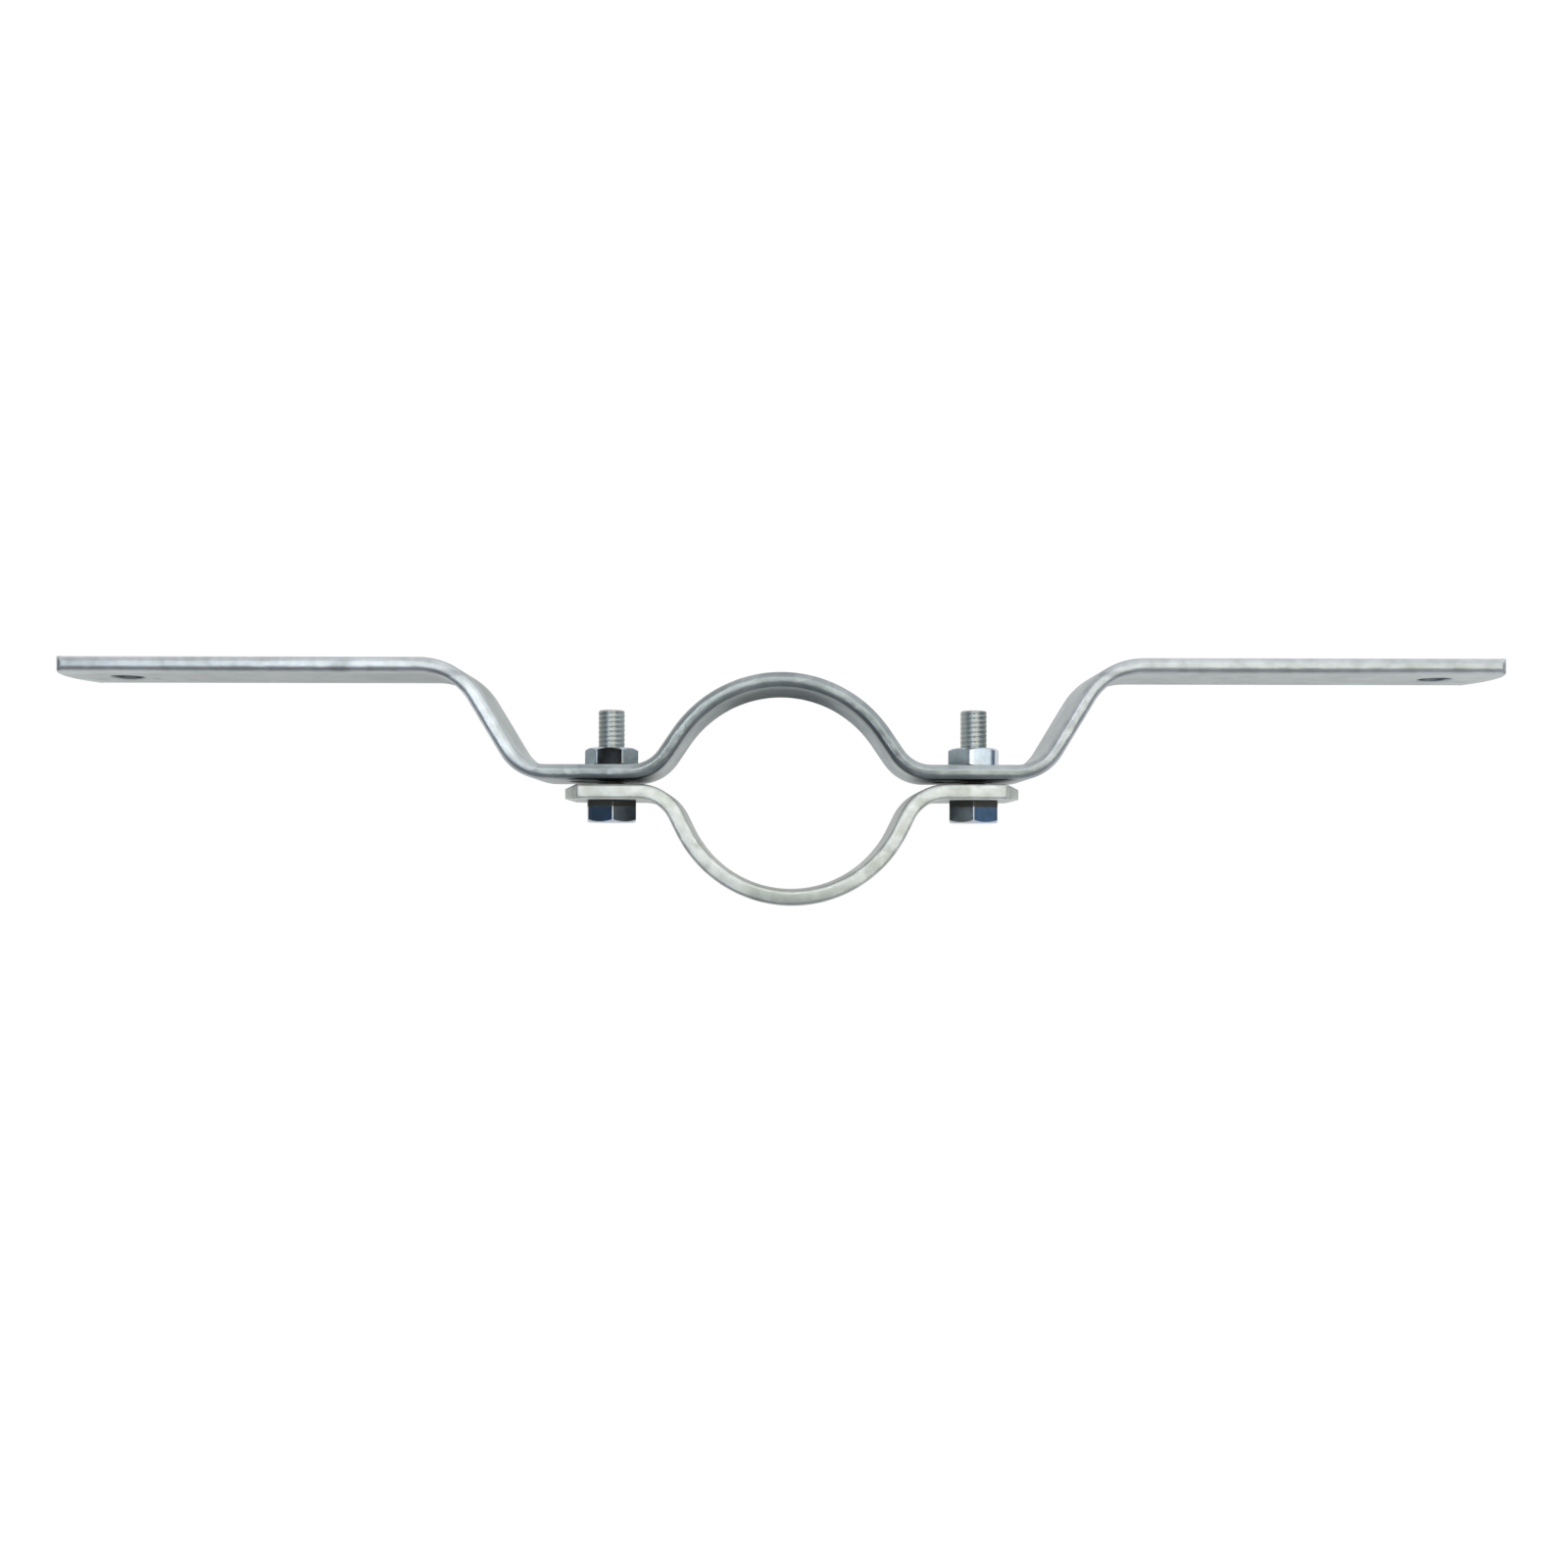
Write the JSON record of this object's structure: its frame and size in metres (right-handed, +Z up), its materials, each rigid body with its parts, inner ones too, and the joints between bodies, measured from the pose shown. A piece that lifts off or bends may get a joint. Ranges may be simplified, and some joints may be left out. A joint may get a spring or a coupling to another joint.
{
  "type": "sign post clamp",
  "caption": "Long-armed clamp bent from galvanised flat bar that closes round a tubular post with hexagon bolts and carries a traffic sign on its arms.",
  "frame": {"origin": "on the axis of the post that the sign strap's arch fits, half way up the straps", "axes": "+X along the arms, +Y from the post towards the sign, +Z up the post"},
  "size_m": [0.382, 0.0646, 0.03],
  "materials": {
    "galvanised_steel": "hot-dip galvanised, satin, slightly lumpy on the edges",
    "zinc_plated_steel": "bright zinc plate"
  },
  "bodies": {
    "root": {"sign_strap": "galvanised_steel", "clip_strap": "galvanised_steel", "bolt_left": "zinc_plated_steel", "bolt_right": "zinc_plated_steel", "nut_left": "zinc_plated_steel", "nut_right": "zinc_plated_steel"}
  },
  "joints": []
}
